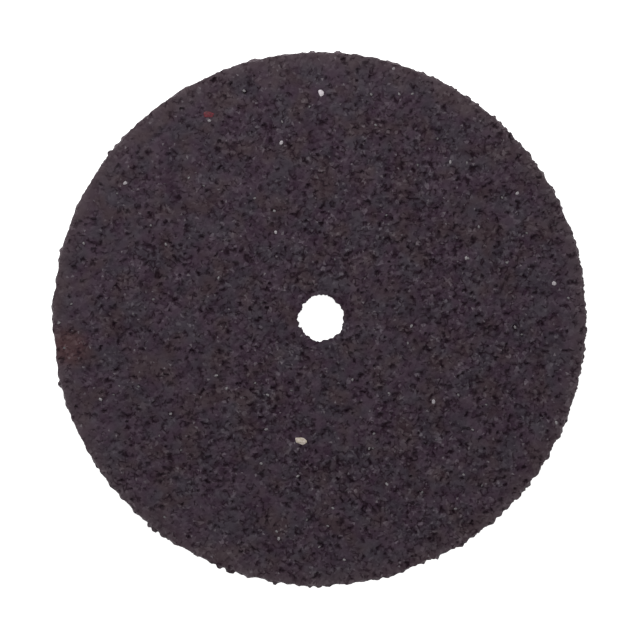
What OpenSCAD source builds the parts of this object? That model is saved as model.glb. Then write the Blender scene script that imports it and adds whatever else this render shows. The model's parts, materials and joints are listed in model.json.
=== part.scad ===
// Abrasive cut-off wheel for a small rotary tool: one thin disc of bonded grain with a hole for
// the mandrel's screw. The wheel lies flat, with its bore on the Z axis and its lower face at z = 0.

/* [Wheel] */
// Mean outside diameter of the rim
wheel_d = 24; // [16:0.5:40]
// Thickness between the two faces
wheel_t = 1; // [0.6:0.05:3]
// Diameter of the hole for the mandrel's screw
bore_d = 2.05; // [1.5:0.05:6.5]
// How far the moulded rim's centre lies from the bore's axis, along X and Y
runout = [-0.09, -0.04]; // [-0.3:0.01:0.3]

/* [Grain] */
// Pitch of the abrasive grains along the rim
grain_pitch = 0.18; // [0.16:0.01:0.6]
// Height of one row of grains on the rim, of which whole rows fill the thickness
grain_row_h = 0.2; // [0.15:0.01:0.3]
// How far the tallest grains on the rim stand out, from root to tip
grain_relief = 0.15; // [0:0.01:0.25]
// Power of the even draw that gives a grain's height: the higher it is, the fewer grains stand tall
grain_power = 8; // [1:1:12]
// Number that picks the rim's pattern of grains
grain_seed = 11; // [1:1:99]
// Direction in which the rim is roughest, in degrees from X
rough_side = 290; // [0:1:359]
// Share by which the grains' relief grows towards that side and shrinks towards the other
rough_swing = 0.25; // [0:0.05:1]
// Directions of single grains that stand proud of the rim, in degrees from X
proud_angles = [86, 92, 142, 165, 194, 231, 250, 260, 270]; // [0:1:359]
// Height of those grains above the rim's mean circle
proud_heights = [0.09, 0.07, 0.13, 0.08, 0.09, 0.09, 0.11, 0.15, 0.1]; // [0:0.01:0.25]

/* [Edge] */
// Most that the crumbled row beside each face lies back from the rim
edge_setback = 0.08; // [0:0.01:0.2]
// Directions of the shallow flats on the rim, in degrees from X
flat_angles = [172, 186, 294]; // [0:1:359]
// Depth of those flats below the rim's mean circle
flat_depths = [0.05, 0.06, 0.085]; // [0:0.005:0.2]

/* [Hidden] */
rim_r = wheel_d / 2;
rim_grains = round(PI * wheel_d / grain_pitch);
grain_step = 360 / rim_grains;
grain_rows = round(wheel_t / grain_row_h);
row_h = wheel_t / grain_rows;
// The row that holds the proud grains
proud_row = floor(grain_rows / 2);
// The outline from above is mostly the tallest of three rows of grains between the two crumbled ones,
// and the mean of the tallest of so many draws lies at this share of the relief.
rows_in_outline = 3;
mean_share = rows_in_outline / (rows_in_outline + grain_power);
// Least setback of a crumbled row, as a share of the most
least_crumble = 0.3;
// The cutter for the bore runs past both faces by this much
bore_overrun = 1;

function polar(r, a) = r * [cos(a), sin(a)];

// Radius of the rim's mean line: its circle, or the straight line of a flat that lies inside it
function mean_radius(a) = min([
    rim_r,
    for (k = [0 : len(flat_angles) - 1])
        let (facing = cos(a - flat_angles[k]))
            if (facing > 0) (rim_r - flat_depths[k]) / facing
]);

// Relief of the grains in a direction
function relief(a) = grain_relief * (1 + rough_swing * cos(a - rough_side));

// Radius of the proud grain that has the place of grain i in a row, if there is one
function proud_radius(row, i) = [
    for (k = [0 : len(proud_angles) - 1])
        if (row == proud_row && round(proud_angles[k] / grain_step) % rim_grains == i)
            rim_r + proud_heights[k]
];

// Outline of one row of grains: one corner per grain, and every second row lies half a grain on
function row_outline(row) =
    let (
        tallness = rands(0, 1, rim_grains, grain_seed + row),
        crumble = rands(least_crumble, 1, rim_grains, grain_seed + grain_rows + row),
        at_face = row == 0 || row == grain_rows - 1,
        shift = row % 2 / 2
    ) [
        for (i = [0 : rim_grains - 1])
            let (
                a = (i + shift) * grain_step,
                r = mean_radius(a) + relief(a) * (pow(tallness[i], grain_power) - mean_share),
                back = at_face ? edge_setback * crumble[i] : 0
            ) runout + polar(max(concat(r - back, proud_radius(row, i))), a)
    ];

// The whole wheel: rows of grains from face to face, and the bore
module cutoff_wheel() {
    color([0.22, 0.19, 0.21])
        difference() {
            union()
                for (row = [0 : grain_rows - 1])
                    translate([0, 0, row * row_h])
                        linear_extrude(row_h)
                            polygon(row_outline(row));
            translate([0, 0, -bore_overrun])
                cylinder(d = bore_d, h = wheel_t + 2 * bore_overrun, $fn = 96);
        }
}

cutoff_wheel();
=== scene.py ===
"""Looks of the cut-off wheel: a disc of dark bonded grain with pitted faces, a ragged rim and a plain hole.

Lengths are in millimetres while a shape is worked out, and in metres in Blender.
"""

import json
import math

import bmesh
import bpy
import numpy as np
from mathutils import Euler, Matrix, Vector
from mathutils.bvhtree import BVHTree
from mathutils.geometry import delaunay_2d_cdt
from mathutils.kdtree import KDTree
from mathutils.noise import noise as perlin


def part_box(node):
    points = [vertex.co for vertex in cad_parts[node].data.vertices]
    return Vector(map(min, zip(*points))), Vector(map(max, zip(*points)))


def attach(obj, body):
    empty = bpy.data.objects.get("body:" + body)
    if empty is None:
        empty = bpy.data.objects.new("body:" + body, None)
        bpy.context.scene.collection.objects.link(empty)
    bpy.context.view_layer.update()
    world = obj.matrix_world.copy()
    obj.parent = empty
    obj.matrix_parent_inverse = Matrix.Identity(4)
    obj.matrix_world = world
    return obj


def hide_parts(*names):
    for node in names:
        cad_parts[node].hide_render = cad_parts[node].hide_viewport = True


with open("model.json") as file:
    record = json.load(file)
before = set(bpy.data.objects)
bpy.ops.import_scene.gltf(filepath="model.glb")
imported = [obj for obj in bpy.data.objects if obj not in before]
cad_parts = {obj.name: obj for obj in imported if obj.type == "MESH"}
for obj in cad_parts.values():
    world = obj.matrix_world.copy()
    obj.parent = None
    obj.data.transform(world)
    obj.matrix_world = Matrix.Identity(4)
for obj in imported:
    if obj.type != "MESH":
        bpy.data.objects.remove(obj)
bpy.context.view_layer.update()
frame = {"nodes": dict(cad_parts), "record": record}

# Millimetres in a metre
MM = 1000.0

# The wheel's sizes, from the frame
node_low, node_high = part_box("cutoff_wheel")
THICKNESS = (node_high.z - node_low.z) * MM
WHEEL_R = (node_high.x - node_low.x + node_high.y - node_low.y) * MM / 4
RIM_CENTRE = np.array([node_low.x + node_high.x, node_low.y + node_high.y]) * MM / 2
BORE_R = next(m for m in frame["record"]["mounts"] if m["name"] == "arbor_hole")["dims"]["r_mm"]

# Numbers that pick the pattern of the wheel's grains, and of the pale and coloured ones
WHEEL_SEED = 4
STONE_SEED = 1

# Grains, packed through the whole wheel: spacing, and how far each is shaken from its place, as a share of it
GRAIN_PITCH = 0.15
GRAIN_SHAKE = 0.45
# How far a grain's top lies below the face, its slope, and the spread of its shade
GRAIN_SINK = 0.03
GRAIN_TILT = 0.27
GRAIN_SHADE = 0.22
# How much further light grains differ from the mean than dark ones, and the most that they do, in spreads
LIGHT_TAIL = 0.3
LIGHT_LIMIT = 2.0
# Grooves between grains; their darkness is the dark bond with painted shade
SEAM_WIDTH = 0.04
SEAM_DEPTH = 0.02
SEAM_DARKNESS = 0.25
# Calm and rough patches, small and large: their size and how far they differ; the least and most roughness
PATCHES = ((0.3, 1.8), (2.5, 0.4))
PATCH_RANGE = (0.35, 1.7)
# Share of the roughness at some distances from the rim, towards which the faces are calmer
CALM_DISTANCES = (0.0, 0.9, 1.4, 7.0)
CALM_SHARES = (0.58, 0.85, 0.98, 1.07)
# Direction in degrees towards which the wheel is rougher, and by what share at the rim
ROUGH_SIDE = 345
ROUGH_SWING = 0.2
# Places where a grain is missing, of which there are more, and darker ones, where it is rough; their darkness
# is the dark bond with painted shade
PORE_SHARE = 0.115
PORE_DEPTHS = (0.03, 0.14)
PORE_DARKNESS = (0.25, 0.95)
# Single facets differ a little in shade, and a share of them glint, weakly or strongly
FACET_SHADE = 0.06
GLINT_SHARE = 0.0095
GLINT_STRENGTHS = (0.15, 0.8)
# Painted light: the faces are painted lighter towards the rim, by a share that fades over a width, and once
# more close to it
RIM_PAINTED_LIGHT = ((0.28, 0.7), (1.1, 0.14))
# A facet counts wholly as part of a face, and takes the whole painted light at the rim, where its normal is
# at least this upright
FACE_LEVEL = 0.5

# Spacing of the mesh's points on the faces, how far they are shaken and how far they keep from the edges,
# both as shares of the spacing
FACE_PITCH = 0.112
FACE_SHAKE = 0.34
FACE_MARGIN = 0.6
# Points closer than this count as one
SAME_POINT = 1e-6
# Columns and rows of points on the two walls, and how far they are shaken, as shares of their spacing
RIM_COLUMNS = 1000
RIM_ROWS = 11
BORE_COLUMNS = 110
BORE_ROWS = 13
COLUMN_SHAKE = 0.3
ROW_SHAKE = 0.25
# How far the two edges of a wall are worn down
EDGE_DROP = 0.05
# Share of a grain's depth that shows on the walls, where the rows of grains already stand in and out
WALL_RELIEF = 0.35
# Grains round the bore, and how far they and their facets stand in or out
BORE_GRAINS = 38
BORE_RAGGED = 0.07
BORE_FINE = 0.025

# Rays that find the CAD node's rim: how far outside it they start, and how far they stay from the faces,
# as a share of the thickness
RAY_START = 1.0
RAY_INSET = 0.01
# A tip may lie between two columns, so each column also looks to both sides, by a share of their spacing
RAY_TURNS = (-0.35, 0, 0.35)
# Shares by which the rim's grains are worn down, each at a direction in degrees
WORN_SHARES = (
    (66, 0.25),
    (72, 0.65),
    (140, 0.65),
    (158, 0.85),
    (192, 0.85),
    (228, 0.75),
    (234, 0.4),
    (250, 0.4),
    (256, 0.75),
    (280, 0.75),
    (290, 0.4),
    (340, 0.25),
)
# A worn grain takes the mean radius of so many columns to each side
WEAR_COLUMNS = 2
# Tips of fine grains on the rim: how many columns wide they are, how far the tallest stands out, and a power
# that makes tall ones rare
TIP_COLUMNS = 2
TIP_HEIGHT = 0.115
TIP_POWER = 11
# Single round grains that stand out of the rim: direction in degrees, height and half their width
RIM_BEADS = (
    (86.0, 0.1, 0.17),
    (91.5, 0.09, 0.15),
    (139.5, 0.07, 0.13),
    (141.5, 0.12, 0.15),
    (165.0, 0.09, 0.13),
    (194.0, 0.1, 0.13),
    (230.5, 0.09, 0.1),
    (232.0, 0.11, 0.16),
    (248.0, 0.09, 0.1),
    (250.5, 0.11, 0.22),
    (260.5, 0.11, 0.1),
    (268.0, 0.1, 0.08),
    (270.0, 0.1, 0.1),
)
# The rows of points that they take up
BEAD_ROWS = slice(4, 7)
# Other grains within a distance of a bead's middle stand out no further than this
BEAD_CLEARING = 0.4
BEAD_SEAT = 0.01

# Pale grains that stand out on the upper face: place from the bore's axis, and width
PALE_GRAINS = (
    (0.0, 10.12, 0.35),
    (5.05, -3.75, 0.2),
    (-1.8, 7.85, 0.22),
    (8.8, 5.6, 0.18),
    (-2.05, 3.85, 0.2),
    (10.45, 1.55, 0.22),
    (6.5, 2.7, 0.18),
    (5.8, 7.0, 0.17),
    (3.25, 11.2, 0.17),
    (-8.8, 6.05, 0.2),
    (-5.02, 8.86, 0.17),
    (-1.9, -9.9, 0.17),
    (-9.9, -3.65, 0.17),
    (2.95, -7.45, 0.16),
    (8.7, -0.4, 0.15),
    (4.05, -0.35, 0.16),
    (10.55, -4.7, 0.16),
    (-6.75, -4.3, 0.15),
    (-2.1, 4.8, 0.15),
    (-3.45, 10.2, 0.15),
    (3.5, 10.05, 0.15),
    (-4.25, -3.15, 0.15),
    (1.05, -10.85, 0.15),
    (-2.4, -3.45, 0.15),
    (-1.05, -7.1, 0.15),
)
# Smaller pale grains are strewn over both faces: their number on a face, their widths, and how far they keep
# from the rim and from the bore
STREWN_GRAINS = 60
STREWN_WIDTHS = (0.1, 0.15)
STREWN_FROM_RIM = 0.4
STREWN_FROM_BORE = 0.3
# A chip of cream stone and a red grain in the upper face: place, length, width and turn in degrees
CREAM_CHIP = (-0.9, -5.5, 0.82, 0.5, -20)
RED_GRAIN = (-5.07, 9.15, 0.74, 0.38, 0)
# Length and height of a pale grain as shares of its width
CRYSTAL_LENGTH = 1.4
CRYSTAL_HEIGHT = 0.8
# How far its middle lies below the face, as a share of its height, and the depth of the seat round it
CRYSTAL_SINK = 0.25
SEAT_DEPTH = 0.05
# Least and most share of its reach at which a corner lies
CRYSTAL_CORNERS = (0.6, 1.0)
# How pale a grain looks at some widths
TONE_WIDTHS = (0.1, 0.15, 0.3)
TONES = (0.1, 0.2, 0.7)

# The map that colours are baked to: width and middles of the two faces on it
MAP_FACE_WIDTH = 0.48
MAP_UPPER_MIDDLE = (0.25, 0.74)
MAP_LOWER_MIDDLE = (0.75, 0.74)
# The walls are unrolled into lanes on it: their spacing, length, height and left end
LANE_PITCH = 0.06
LANE_LENGTH = 0.94
LANE_HEIGHT = 0.045
LANE_LEFT = 0.03
# Number of lanes of each wall, and the place of the first
RIM_LANES = 4
RIM_FIRST_LANE = 0.42
BORE_LANES = 1
BORE_FIRST_LANE = 0.14

# Colours of the bonded grain in sRGB bytes
VIOLET = (63, 50, 61)
BLUE = (60, 53, 61)
BROWN = (64, 52, 57)
RUST = (70, 44, 44)
GLINT = (112, 105, 110)
# The dark bond in pits, grooves and crevices, darkened further by painted shade
DARK_BOND_AND_SHADE = (27, 12, 22)
EVEN_GREY = (55, 55, 55)
# Share of a shade that scales a colour; the rest adds or takes away the even grey
TINT_SHARE = 0.3
# How far a full pit takes on the colour of the dark bond with painted shade
PIT_STRENGTH = 0.85
# Thin dark lines between grains, too fine for the mesh, whose darkness is the dark bond with painted shade:
# spacing, half their width, and darkness
CREVICE_PITCH = 0.26
CREVICE_WIDTH = 0.055
CREVICE_DARKNESS = 0.85
# Browner edge of the faces: width, and how brown it is at the rim
BROWN_EDGE = 1.2
BROWN_EDGE_SHARE = 0.8
# A rusty stain near the rim: place, radius, share of it that is even, and strength there
STAIN = (-11.3, -1.25, 0.0)
STAIN_R = 1.2
STAIN_CORE = 0.3
STAIN_STRENGTH = 0.68
# Light and dark colours of the stones in sRGB bytes
CREAM_COLOURS = ((200, 187, 180), (176, 166, 148))
RED_COLOURS = ((108, 40, 52), (74, 36, 40))
PALE_COLOURS = ((255, 247, 252), (225, 215, 222))


def from_rim(points):
    """Distance of some points from the rim's mean circle, inwards."""
    return WHEEL_R - np.hypot(*(points[:, :2] - RIM_CENTRE).T)


def packed_centres(rng):
    """Middles of the grains that fill the wheel: a lattice, shaken."""
    reach = WHEEL_R + GRAIN_PITCH
    along = np.arange(-reach, reach, GRAIN_PITCH)
    up = np.arange(-GRAIN_PITCH, THICKNESS + GRAIN_PITCH, GRAIN_PITCH)
    centres = np.stack(np.meshgrid(along, along, up, indexing="ij"), -1).reshape(-1, 3)
    centres[:, :2] += RIM_CENTRE
    centres += rng.uniform(-1, 1, centres.shape) * GRAIN_SHAKE * GRAIN_PITCH
    return centres[from_rim(centres) > -GRAIN_PITCH]


def calmness(centres):
    """Share of the roughness that each grain has by its distance from the rim, if it lies at a face."""
    to_face = np.minimum(centres[:, 2], THICKNESS - centres[:, 2])
    return np.where(to_face < GRAIN_PITCH, np.interp(from_rim(centres), CALM_DISTANCES, CALM_SHARES), 1)


class Packing:
    """The grains that fill the wheel, each with a place, a height, a slope and a shade."""

    def __init__(self, rng):
        self.centres = packed_centres(rng)
        count = len(self.centres)
        patches = [1 + sum(swing * perlin(Vector(c) / size) for size, swing in PATCHES) for c in self.centres]
        calm = calmness(self.centres)
        side = np.array([math.cos(math.radians(ROUGH_SIDE)), math.sin(math.radians(ROUGH_SIDE))])
        one_sided = 1 + ROUGH_SWING * (self.centres[:, :2] - RIM_CENTRE) @ side / WHEEL_R
        self.rough = np.clip(patches, *PATCH_RANGE) * calm * one_sided
        self.slopes = rng.uniform(-GRAIN_TILT, GRAIN_TILT, (count, 3)) * self.rough[:, None]
        tones = rng.normal(0, 1, count)
        tones = np.minimum(tones + LIGHT_TAIL * (tones ** 2 - 1), LIGHT_LIMIT)
        self.shades = np.exp(GRAIN_SHADE * tones * self.rough)
        self.pores = rng.random(count) < PORE_SHARE * calm * self.rough
        hollow = rng.random(count)
        sinks = hollow * GRAIN_SINK * self.rough
        self.depths = np.where(self.pores, np.interp(hollow, (0, 1), PORE_DEPTHS), sinks)
        # A pore's darkness: the dark bond with painted shade
        darkness = np.interp(hollow, (0, 1), PORE_DARKNESS) * np.minimum(self.rough, 1)
        self.pits = np.where(self.pores, darkness, 0)
        self.tree = KDTree(count)
        for index, centre in enumerate(self.centres):
            self.tree.insert(centre, index)
        self.tree.balance()

    def surface(self, points):
        """Depth of the surface at some points, and how much of a dark pit is there, from 0 to 1: the dark
        bond with painted shade.
        """
        found = [self.tree.find_n(point, 2) for point in points]
        own = np.array([first[1] for first, _ in found])
        apart = np.array([second[2] - first[2] for first, second in found])
        seam = np.clip(1 - apart / SEAM_WIDTH, 0, 1) * np.minimum(self.rough[own], 1)
        slope = np.einsum("ij,ij->i", self.slopes[own], points - self.centres[own])
        depths = self.depths[own] + np.where(self.pores[own], 0, np.abs(slope) + SEAM_DEPTH * seam)
        return depths, np.maximum(self.pits[own], SEAM_DARKNESS * seam)

    def owners(self, points):
        """Indices of the grains that some points lie in."""
        return np.array([self.tree.find(point)[1] for point in points])


class Shell:
    """The wheel's closed surface as it grows: points, pits, facets, and the facets' places on the map."""

    def __init__(self):
        self.points = np.zeros((0, 3))
        self.pits = np.zeros(0)
        self.facets = np.zeros((0, 3), int)
        self.places = np.zeros((0, 3, 2))

    def add_points(self, points, pits):
        """Adds points and returns their indices."""
        first = len(self.points)
        self.points = np.vstack([self.points, points])
        self.pits = np.concatenate([self.pits, pits])
        return np.arange(first, len(self.points))

    def add_facets(self, facets, places):
        """Adds facets with their corners' places on the map."""
        self.facets = np.vstack([self.facets, facets])
        self.places = np.concatenate([self.places, places])


def ring_angles(columns, rng):
    """Directions of a ring's points, unevenly spaced as grains are, in radians."""
    return (np.arange(columns) + rng.uniform(-COLUMN_SHAKE, COLUMN_SHAKE, columns)) * 2 * math.pi / columns


def wall_heights(rows, columns, rng):
    """Heights of the points on a wall, row by row, uneven between the two worn edges."""
    gap = THICKNESS / (rows - 1)
    heights = np.repeat(np.linspace(0, THICKNESS, rows)[:, None], columns, 1)
    heights[1:-1] += rng.uniform(-ROW_SHAKE, ROW_SHAKE, (rows - 2, columns)) * gap
    heights[0] = rng.uniform(0, EDGE_DROP, columns)
    heights[-1] = THICKNESS - rng.uniform(0, EDGE_DROP, columns)
    return heights


def wall_points(angles, radii, heights, centre):
    """Points of a wall as (rows, columns, 3), and the way outwards at each."""
    outward = np.stack([np.cos(angles), np.sin(angles), np.zeros(len(angles))], 1)
    outward = np.repeat(outward[None], len(heights), 0)
    points = radii[..., None] * outward
    points[..., :2] += centre
    points[..., 2] = heights
    return points, outward


def cad_radii(angles, heights):
    """Radii of the CAD node's own rim in some directions, at heights that are given row by row."""
    mesh = frame["nodes"]["cutoff_wheel"].data
    tree = BVHTree.FromPolygons([v.co * MM for v in mesh.vertices], [p.vertices for p in mesh.polygons])
    start = WHEEL_R + RAY_START
    inset = RAY_INSET * THICKNESS
    turns = np.array(RAY_TURNS) * 2 * math.pi / len(angles)
    radii = np.zeros(heights.shape)
    for row, column in np.ndindex(radii.shape):
        height = min(max(heights[row, column], inset), THICKNESS - inset)
        for angle in angles[column] + turns:
            outward = np.array([math.cos(angle), math.sin(angle)])
            origin = Vector((*(RIM_CENTRE + start * outward), height))
            hit = start - tree.ray_cast(origin, Vector((*-outward, 0)))[3]
            radii[row, column] = max(radii[row, column], hit)
    return radii


def with_beads(radii, angles):
    """The rim's radii, row by row, with round grains in place of what stood there."""
    mean = radii.max(0).mean()
    near = np.zeros(len(angles), bool)
    beads = np.zeros(len(angles))
    for direction, height, width in RIM_BEADS:
        aside = np.abs((angles - math.radians(direction) + math.pi) % (2 * math.pi) - math.pi) * mean
        bead = mean + height * np.sqrt(np.clip(1 - (aside / width) ** 2, 0, 1))
        beads = np.maximum(beads, np.where(aside < width, bead, 0))
        near |= aside < BEAD_CLEARING
    cleared = np.where(near, np.minimum(radii, mean + BEAD_SEAT), radii)
    cleared[BEAD_ROWS] = np.maximum(cleared[BEAD_ROWS], beads)
    return cleared


def rim_wall(rng):
    """Points of the rim, which is the CAD node's, worn and with finer grains, and the way inwards at each."""
    angles = ring_angles(RIM_COLUMNS, rng)
    heights = wall_heights(RIM_ROWS, RIM_COLUMNS, rng)
    radii = cad_radii(angles, heights)
    worn = np.interp(np.degrees(angles), *zip(*WORN_SHARES))
    turns = range(-WEAR_COLUMNS, WEAR_COLUMNS + 1)
    smooth = sum(np.roll(radii, turn, 1) for turn in turns) / len(turns)
    tips = np.repeat(rng.random((RIM_ROWS, RIM_COLUMNS // TIP_COLUMNS)), TIP_COLUMNS, 1) ** TIP_POWER
    radii += (smooth - radii) * worn + TIP_HEIGHT * tips * (1 - worn)
    points, outward = wall_points(angles, with_beads(radii, angles), heights, RIM_CENTRE)
    return points, -outward


def bore_wall(rng):
    """Points of the bore, ragged grain by grain, and the way into the grain at each."""
    angles = ring_angles(BORE_COLUMNS, rng)
    heights = wall_heights(BORE_ROWS, BORE_COLUMNS, rng)
    knots = ring_angles(BORE_GRAINS, rng)
    reaches = rng.uniform(-BORE_RAGGED, BORE_RAGGED, BORE_GRAINS)
    ragged = np.interp(angles, knots, reaches, period=2 * math.pi)
    # The hole stays centred on its axis, whichever grains stand in or out
    ragged -= sum(2 * (ragged * way(angles)).mean() * way(angles) for way in (np.cos, np.sin))
    radii = BORE_R + ragged + rng.uniform(-BORE_FINE, BORE_FINE, BORE_COLUMNS)
    return wall_points(angles, np.repeat(radii[None], BORE_ROWS, 0), heights, np.zeros(2))


def ring_radius(ring, centre, points):
    """Radius of a ring of points in the direction of each of the other points, and those points' own."""
    around = ring[:, :2] - centre
    angles = np.arctan2(around[:, 1], around[:, 0])
    order = np.argsort(angles)
    radii = np.hypot(around[:, 0], around[:, 1])
    away = points - centre
    at = np.interp(np.arctan2(away[:, 1], away[:, 0]), angles[order], radii[order], period=2 * math.pi)
    return at, np.hypot(away[:, 0], away[:, 1])


def inside_face(points, rim_ring, bore_ring, margin):
    """Which points lie between the two rings, clear of both by the margin."""
    rim_at, rim_r = ring_radius(rim_ring, RIM_CENTRE, points)
    bore_at, bore_r = ring_radius(bore_ring, np.zeros(2), points)
    return (rim_r < rim_at - margin) & (bore_r > bore_at + margin)


def lattice(rng):
    """Points over the whole wheel: a hexagonal lattice, shaken."""
    reach = WHEEL_R + FACE_PITCH
    along = np.arange(-reach, reach, FACE_PITCH)
    up = np.arange(-reach, reach, FACE_PITCH * math.sqrt(3) / 2)
    x, y = np.meshgrid(along, up)
    x[1::2] += FACE_PITCH / 2
    points = np.stack([x.ravel(), y.ravel()], 1) + RIM_CENTRE
    return points + rng.uniform(-1, 1, points.shape) * FACE_SHAKE * FACE_PITCH


def face_places(points, upper):
    """Places of a face's points on the map that colours are baked to: the two faces lie side by side."""
    per_mm = MAP_FACE_WIDTH / (2 * WHEEL_R)
    middle = np.array(MAP_UPPER_MIDDLE if upper else MAP_LOWER_MIDDLE)
    return middle + (points[..., :2] - RIM_CENTRE) * per_mm


def wall_places(shares, heights, lanes, first_lane):
    """Places of a wall's facets on that map: the wall is unrolled into lanes below the faces."""
    lane = np.floor(shares.mean(1, keepdims=True) * lanes)
    along = LANE_LEFT + (shares * lanes - lane) * LANE_LENGTH
    return np.stack([along, first_lane - lane * LANE_PITCH + heights / THICKNESS * LANE_HEIGHT], 2)


def add_face(shell, packing, upper, rings, seats, rng):
    """Adds one pitted face between the rim's ring of points and the bore's, given by their indices."""
    rim_points, bore_points = (shell.points[ring] for ring in rings)
    flat = lattice(rng)
    flat = flat[inside_face(flat, rim_points, bore_points, FACE_PITCH * FACE_MARGIN)]
    points = np.column_stack([flat, np.full(len(flat), THICKNESS if upper else 0.0)])
    depths, pits = packing.surface(points)
    for x, y, width in seats:
        seated = np.hypot(flat[:, 0] - x, flat[:, 1] - y) < width / 2
        depths[seated] = np.maximum(depths[seated], SEAT_DEPTH)
    points[:, 2] += -depths if upper else depths
    indices = np.concatenate([*rings, shell.add_points(points, pits)])
    loops = [(0, len(rim_points)), (len(rim_points), len(bore_points))]
    edges = [(start + k, start + (k + 1) % count) for start, count in loops for k in range(count)]
    flat = np.vstack([rim_points[:, :2], bore_points[:, :2], flat])
    found = delaunay_2d_cdt([Vector(p) for p in flat], edges, [], 0, SAME_POINT)
    origins = np.array([origin[0] for origin in found[3]])
    facets = origins[np.array(found[2])]
    facets = facets[inside_face(flat[facets].mean(1), rim_points, bore_points, 0.0)]
    facets = indices[facets if upper else facets[:, ::-1]]
    shell.add_facets(facets, face_places(shell.points[facets], upper))


def add_wall(shell, packing, wall, inward, outer, lanes, first_lane, rng):
    """Adds a wall from its grid of points and returns the grid of their indices."""
    rows, columns, _ = wall.shape
    depths, pits = packing.surface(wall.reshape(-1, 3))
    relief = (depths - depths.mean()) * WALL_RELIEF
    points = wall.reshape(-1, 3) + inward.reshape(-1, 3) * relief[:, None]
    grid = shell.add_points(points, pits).reshape(rows, columns)
    row, column = np.indices((rows - 1, columns)).reshape(2, -1)
    right = (column + 1) % columns
    corners = np.stack([grid[row, column], grid[row, right], grid[row + 1, right], grid[row + 1, column]], 1)
    shares = np.stack([column, column + 1, column + 1, column], 1) / columns
    # Each four-sided cell is split along one diagonal or the other, at even odds
    turned = rng.random(len(corners)) < 0.5
    for half, used in (((0, 1, 2), ~turned), ((0, 2, 3), ~turned), ((0, 1, 3), turned), ((1, 2, 3), turned)):
        order = list(half if outer else half[::-1])
        facets = corners[used][:, order]
        heights = shell.points[facets][..., 2]
        shell.add_facets(facets, wall_places(shares[used][:, order], heights, lanes, first_lane))
    return grid


def facet_looks(shell, packing, rng):
    """Shade, glint and roughness of each facet: its grain's, a little uneven, and with painted light near the
    rim.
    """
    corners = shell.points[shell.facets]
    middles = corners.mean(1)
    normals = np.cross(corners[:, 1] - corners[:, 0], corners[:, 2] - corners[:, 0])
    level = np.abs(normals[:, 2]) / np.linalg.norm(normals, axis=1)
    # Painted light near the rim, on facets that face up or down
    lights = sum(light * np.exp(-from_rim(middles) / width) for light, width in RIM_PAINTED_LIGHT)
    owners = packing.owners(middles)
    uneven = rng.normal(0, FACET_SHADE, len(middles)) * packing.rough[owners]
    shades = packing.shades[owners] * np.exp(uneven)
    strengths = rng.uniform(*GLINT_STRENGTHS, len(middles))
    glints = np.where(rng.random(len(middles)) < GLINT_SHARE, strengths, 0)
    return shades * (1 + np.minimum(level / FACE_LEVEL, 1) * lights), glints, packing.rough[owners]


def add_attribute(mesh, name, domain, values):
    """Gives a mesh a number for each point or facet, which its material reads."""
    made = mesh.attributes.new(name, "FLOAT", domain)
    made.data.foreach_set("value", values.astype(np.float32))


def build_wheel(upper_seats, lower_seats, rng):
    """The whole wheel as one closed mesh."""
    packing = Packing(rng)
    shell = Shell()
    rim = add_wall(shell, packing, *rim_wall(rng), True, RIM_LANES, RIM_FIRST_LANE, rng)
    bore = add_wall(shell, packing, *bore_wall(rng), False, BORE_LANES, BORE_FIRST_LANE, rng)
    add_face(shell, packing, True, (rim[-1], bore[-1]), upper_seats, rng)
    add_face(shell, packing, False, (rim[0], bore[0]), lower_seats, rng)
    shades, glints, roughness = facet_looks(shell, packing, rng)
    mesh = bpy.data.meshes.new("wheel")
    mesh.from_pydata(np.clip(shell.points / MM, node_low, node_high), [], shell.facets.tolist())
    add_attribute(mesh, "pit", "POINT", shell.pits)
    # The shade holds each grain's own tone, with painted light near the rim
    add_attribute(mesh, "shade", "FACE", shades)
    add_attribute(mesh, "glint", "FACE", glints)
    add_attribute(mesh, "rough", "FACE", roughness)
    places = mesh.uv_layers.new(name="OFBake")
    places.data.foreach_set("uv", shell.places.astype(np.float32).ravel())
    wheel = bpy.data.objects.new("wheel", mesh)
    bpy.context.scene.collection.objects.link(wheel)
    return wheel


def strewn_grains(rng):
    """Small pale grains at even odds over a face, clear of its two edges: place and width."""
    grains = []
    while len(grains) < STREWN_GRAINS:
        place = RIM_CENTRE + rng.uniform(-WHEEL_R, WHEEL_R, 2)
        inside_rim = from_rim(place[None])[0] > STREWN_FROM_RIM
        if inside_rim and np.hypot(*place) > BORE_R + STREWN_FROM_BORE:
            grains.append((*place, rng.uniform(*STREWN_WIDTHS)))
    return grains


def add_crystal(mesh, tones, place, extents, turn, upper, tone, rng):
    """Adds one many-sided grain to a bmesh, ground flush with the face."""
    verts = bmesh.ops.create_icosphere(mesh, subdivisions=1, radius=0.5)["verts"]
    tumble = Euler(rng.uniform(0, 2 * math.pi, 3)).to_matrix()
    spin = Euler((0, 0, math.radians(turn))).to_matrix()
    depth = CRYSTAL_SINK * extents[2]
    middle = Vector((*place, THICKNESS - depth if upper else depth))
    for vert in verts:
        corner = middle + spin @ (tumble @ vert.co * Vector(extents) * rng.uniform(*CRYSTAL_CORNERS))
        corner.z = min(max(corner.z, 0), THICKNESS)
        vert.co = corner / MM
        for face in vert.link_faces:
            face[tones] = tone


def finish_crystals(name, mesh):
    """Turns a bmesh of grains into a piece that rides on the wheel."""
    data = bpy.data.meshes.new(name)
    mesh.to_mesh(data)
    mesh.free()
    piece = bpy.data.objects.new(name, data)
    bpy.context.scene.collection.objects.link(piece)
    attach(piece, "root")
    return piece


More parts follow.
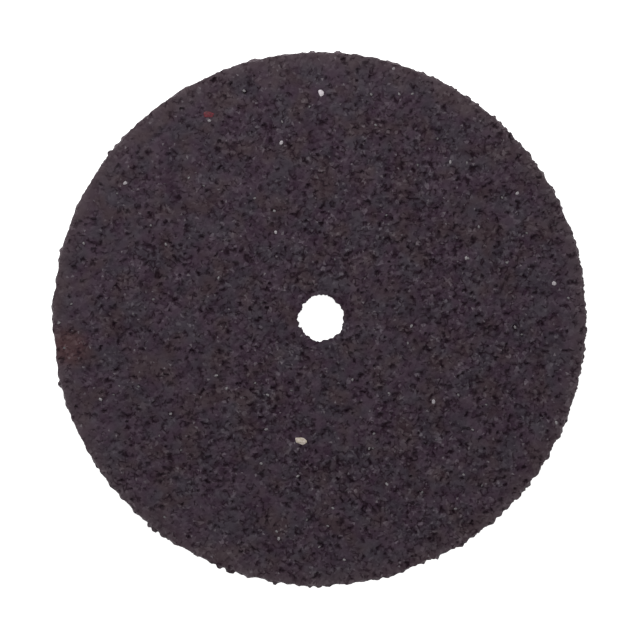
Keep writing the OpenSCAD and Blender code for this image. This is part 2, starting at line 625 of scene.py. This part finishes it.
def build_pale_grains(upper_grains, lower_grains, rng):
    """The pale grains of both faces as one piece; the wider a grain is, the paler it looks."""
    mesh = bmesh.new()
    tones = mesh.faces.layers.float.new("tone")
    for upper, grains in ((True, upper_grains), (False, lower_grains)):
        for x, y, width in grains:
            extents = (width * CRYSTAL_LENGTH, width, width * CRYSTAL_HEIGHT)
            tone = np.interp(width, TONE_WIDTHS, TONES)
            add_crystal(mesh, tones, (x, y), extents, rng.uniform(0, 360), upper, tone, rng)
    return finish_crystals("pale_grains", mesh)


def build_chip(name, x, y, length, width, turn, rng):
    """One large grain in the upper face as a piece of its own."""
    mesh = bmesh.new()
    tones = mesh.faces.layers.float.new("tone")
    add_crystal(mesh, tones, (x, y), (length, width, width * CRYSTAL_HEIGHT), turn, True, 1.0, rng)
    return finish_crystals(name, mesh)


def add_node(tree, kind, inputs, **settings):
    """Adds a shader node with its settings, and its inputs as numbers, colours or links."""
    made = tree.nodes.new(kind)
    for name, value in settings.items():
        setattr(made, name, value)
    for socket, value in inputs.items():
        if isinstance(value, bpy.types.NodeSocket):
            tree.links.new(value, made.inputs[socket])
        else:
            made.inputs[socket].default_value = value
    return made


def mix(tree, factor, first, second):
    """A blend of two colours."""
    return add_node(tree, "ShaderNodeMix", {0: factor, 6: first, 7: second}, data_type="RGBA").outputs[2]


def scale(tree, vector, factor):
    """A vector or colour times a number."""
    return add_node(tree, "ShaderNodeVectorMath", {0: vector, "Scale": factor}, operation="SCALE").outputs[0]


def ramp(tree, value, low, high, to_low=0.0, to_high=1.0):
    """A value carried smoothly from one range to another, and kept within it."""
    inputs = {0: value, 1: low, 2: high, 3: to_low, 4: to_high}
    return add_node(tree, "ShaderNodeMapRange", inputs, interpolation_type="SMOOTHSTEP").outputs[0]


def noise(tree, place, size, detail, offset=0.0):
    """Noise whose patches are about a size in millimetres; with another offset it has another pattern."""
    moved = add_node(tree, "ShaderNodeVectorMath", {0: place, 1: (offset, offset, offset)}).outputs[0]
    inputs = {"Vector": moved, "Scale": 1 / size, "Detail": detail}
    return add_node(tree, "ShaderNodeTexNoise", inputs).outputs["Fac"]


def from_axis(tree, place, point):
    """Distance from an upright line through a point."""
    flat = add_node(tree, "ShaderNodeVectorMath", {0: place, 1: (1, 1, 0)}, operation="MULTIPLY").outputs[0]
    inputs = {0: flat, 1: point}
    return add_node(tree, "ShaderNodeVectorMath", inputs, operation="DISTANCE").outputs["Value"]


def attribute(tree, name):
    """A number that the mesh holds for each point or facet."""
    return add_node(tree, "ShaderNodeAttribute", {}, attribute_name=name).outputs["Fac"]


def millimetres(tree):
    """The place on the piece, in millimetres."""
    return scale(tree, tree.nodes.new("ShaderNodeTexCoord").outputs["Object"], MM)


def rgb(red, green, blue):
    """A colour from its sRGB bytes."""
    shares = [c / 255 for c in (red, green, blue)]
    return (*[c / 12.92 if c <= 0.04045 else ((c + 0.055) / 1.055) ** 2.4 for c in shares], 1.0)


def new_material(name, roughness, specular):
    """A material with its shader's even values set."""
    material = bpy.data.materials.new(name)
    material.use_nodes = True
    shader = material.node_tree.nodes["Principled BSDF"]
    shader.inputs["Roughness"].default_value = roughness
    shader.inputs["Specular IOR Level"].default_value = specular
    return material, material.node_tree, shader


def add_bump(tree, shader, height, strength, distance):
    """Fine roughness, too small for the mesh, over a distance in millimetres."""
    inputs = {"Height": height, "Strength": strength, "Distance": distance / MM}
    bump = add_node(tree, "ShaderNodeBump", inputs)
    tree.links.new(bump.outputs[0], shader.inputs["Normal"])


def shaded(tree, colour, shade):
    """A colour times a shade, but partly by an even grey added or taken away, so that its tint stays."""
    own = {0: shade, 1: TINT_SHARE, 2: 1 - TINT_SHARE}
    even = {0: shade, 1: 1 - TINT_SHARE, 2: TINT_SHARE - 1}
    factors = [add_node(tree, "ShaderNodeMath", i, operation="MULTIPLY_ADD").outputs[0] for i in (own, even)]
    grey = scale(tree, rgb(*EVEN_GREY)[:3], factors[1])
    return add_node(tree, "ShaderNodeVectorMath", {0: scale(tree, colour, factors[0]), 1: grey}).outputs[0]


def crevices(tree, place):
    """Thin dark lines between grains, the dark bond with painted shade, broken up and only in rough patches,
    from 0 to 1.
    """
    inputs = {"Vector": place, "Scale": 1 / CREVICE_PITCH}
    to_edge = add_node(tree, "ShaderNodeTexVoronoi", inputs, feature="DISTANCE_TO_EDGE").outputs["Distance"]
    line = ramp(tree, to_edge, 0, CREVICE_WIDTH / CREVICE_PITCH, to_low=CREVICE_DARKNESS, to_high=0)
    patch = ramp(tree, noise(tree, place, size=CREVICE_PITCH, detail=2, offset=120), low=0.48, high=0.6)
    broken = add_node(tree, "ShaderNodeMath", {0: line, 1: patch}, operation="MULTIPLY").outputs[0]
    rough = ramp(tree, attribute(tree, "rough"), low=0.3, high=1.0)
    return add_node(tree, "ShaderNodeMath", {0: broken, 1: rough}, operation="MULTIPLY").outputs[0]


def grain_colour(tree, place):
    """Patches of violet, blue and brown grey, browner at the rim, with a rusty stain."""
    blue = ramp(tree, noise(tree, place, size=1.1, detail=1), low=0.38, high=0.66)
    colour = mix(tree, blue, rgb(*VIOLET), rgb(*BLUE))
    brown = ramp(tree, noise(tree, place, size=1.2, detail=1, offset=40), low=0.45, high=0.73)
    colour = mix(tree, brown, colour, rgb(*BROWN))
    from_middle = from_axis(tree, place, (*RIM_CENTRE, 0))
    near_rim = ramp(tree, from_middle, WHEEL_R - BROWN_EDGE, WHEEL_R, to_high=BROWN_EDGE_SHARE)
    colour = mix(tree, near_rim, colour, rgb(*BROWN))
    from_stain = from_axis(tree, place, STAIN)
    stain = ramp(tree, from_stain, STAIN_CORE * STAIN_R, STAIN_R, to_low=STAIN_STRENGTH, to_high=0)
    return mix(tree, stain, colour, rgb(*RUST))


def grain_material():
    """Dark bonded grain, light and dark grain by grain, with glints, and crevices and pits in the dark bond's
    colour with painted shade.
    """
    material, tree, shader = new_material("bonded_grain", roughness=0.62, specular=0.08)
    place = millimetres(tree)
    clouds = noise(tree, place, size=0.9, detail=3, offset=80)
    cloud_shade = ramp(tree, clouds, low=0.3, high=0.7, to_low=0.82, to_high=1.18)
    colour = shaded(tree, grain_colour(tree, place), cloud_shade)
    colour = shaded(tree, colour, attribute(tree, "shade"))
    colour = mix(tree, attribute(tree, "glint"), colour, rgb(*GLINT))
    # Crevices and pits turn to the dark bond's colour with painted shade
    colour = mix(tree, crevices(tree, place), colour, rgb(*DARK_BOND_AND_SHADE))
    pit = ramp(tree, attribute(tree, "pit"), low=0, high=1, to_high=PIT_STRENGTH)
    colour = mix(tree, pit, colour, rgb(*DARK_BOND_AND_SHADE))
    tree.links.new(colour, shader.inputs["Base Color"])
    add_bump(tree, shader, noise(tree, place, size=0.07, detail=3), strength=0.15, distance=0.02)
    return material


def stone_material(name, light, dark):
    """A clean grain of stone, a little uneven in colour, as pale as its tone says."""
    material, tree, shader = new_material(name, roughness=0.45, specular=0.3)
    place = millimetres(tree)
    darker = ramp(tree, noise(tree, place, size=0.1, detail=2), low=0.35, high=0.65)
    colour = mix(tree, darker, rgb(*light), rgb(*dark))
    tree.links.new(scale(tree, colour, attribute(tree, "tone")), shader.inputs["Base Color"])
    add_bump(tree, shader, noise(tree, place, size=0.05, detail=2), strength=0.3, distance=0.02)
    return material


def build_floor():
    """A pale round floor with a low wall, lit a little from within, as a light table is."""
    radius = 0.8
    sides = 64
    level = -0.01 / MM
    wall_top = 0.09
    mesh = bpy.data.meshes.new("floor")
    angles = [2 * math.pi * k / sides for k in range(sides)]
    points = [(radius * math.cos(a), radius * math.sin(a), z) for z in (level, wall_top) for a in angles]
    wall = [(k, k + sides, (k + 1) % sides + sides, (k + 1) % sides) for k in range(sides)]
    mesh.from_pydata(points, [], [range(sides), *wall])
    material, _, shader = new_material("floor", roughness=0.9, specular=0.2)
    shader.inputs["Base Color"].default_value = (0.8, 0.8, 0.8, 1)
    shader.inputs["Emission Color"].default_value = (1, 1, 1, 1)
    shader.inputs["Emission Strength"].default_value = 0.9
    mesh.materials.append(material)
    floor = bpy.data.objects.new("floor", mesh)
    bpy.context.scene.collection.objects.link(floor)


def add_light(name, place, size, power):
    """A square soft light that faces the wheel."""
    data = bpy.data.lights.new(name, "AREA")
    data.size = size
    data.energy = power
    light = bpy.data.objects.new(name, data)
    light.location = place
    light.rotation_euler = (-Vector(place)).to_track_quat("-Z", "Y").to_euler()
    light.visible_camera = False
    bpy.context.scene.collection.objects.link(light)


def build_lights():
    """A soft key light from the upper left, a weak fill from the right, and even light all round."""
    add_light("key", place=(-0.021, 0.051, 0.057), size=0.05, power=0.04)
    add_light("fill", place=(0.06, -0.03, 0.07), size=0.06, power=0.006)
    world = bpy.data.worlds.new("studio")
    world.use_nodes = True
    background = world.node_tree.nodes["Background"]
    background.inputs["Color"].default_value = (1, 1, 1, 1)
    background.inputs["Strength"].default_value = 0.432
    bpy.context.scene.world = world


def build_camera():
    """A long lens that looks straight down at the wheel."""
    view_width = 28.8 / MM
    view_centre = (-0.053 / MM, -0.087 / MM)
    data = bpy.data.cameras.new("camera")
    data.lens = 200
    data.sensor_width = 36
    data.clip_start = 0.001
    camera = bpy.data.objects.new("camera", data)
    camera.location = (*view_centre, THICKNESS / 2 / MM + view_width * data.lens / data.sensor_width)
    bpy.context.scene.collection.objects.link(camera)
    bpy.context.scene.camera = camera


stone_rng = np.random.default_rng(STONE_SEED)
cream_chip = build_chip("cream_chip", *CREAM_CHIP, stone_rng)
cream_chip.data.materials.append(stone_material("cream_stone", *CREAM_COLOURS))
red_grain = build_chip("red_grain", *RED_GRAIN, stone_rng)
red_grain.data.materials.append(stone_material("red_stone", *RED_COLOURS))
upper_grains = [*PALE_GRAINS, *strewn_grains(stone_rng)]
lower_grains = strewn_grains(stone_rng)
pale_grains = build_pale_grains(upper_grains, lower_grains, stone_rng)
pale_grains.data.materials.append(stone_material("pale_stone", *PALE_COLOURS))

upper_seats = [*upper_grains, CREAM_CHIP[:3], RED_GRAIN[:3]]
wheel = build_wheel(upper_seats, lower_grains, np.random.default_rng(WHEEL_SEED))
wheel.data.materials.append(grain_material())
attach(wheel, "root")
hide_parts("cutoff_wheel")

build_floor()
build_lights()
build_camera()
bpy.context.scene.view_settings.view_transform = "Standard"
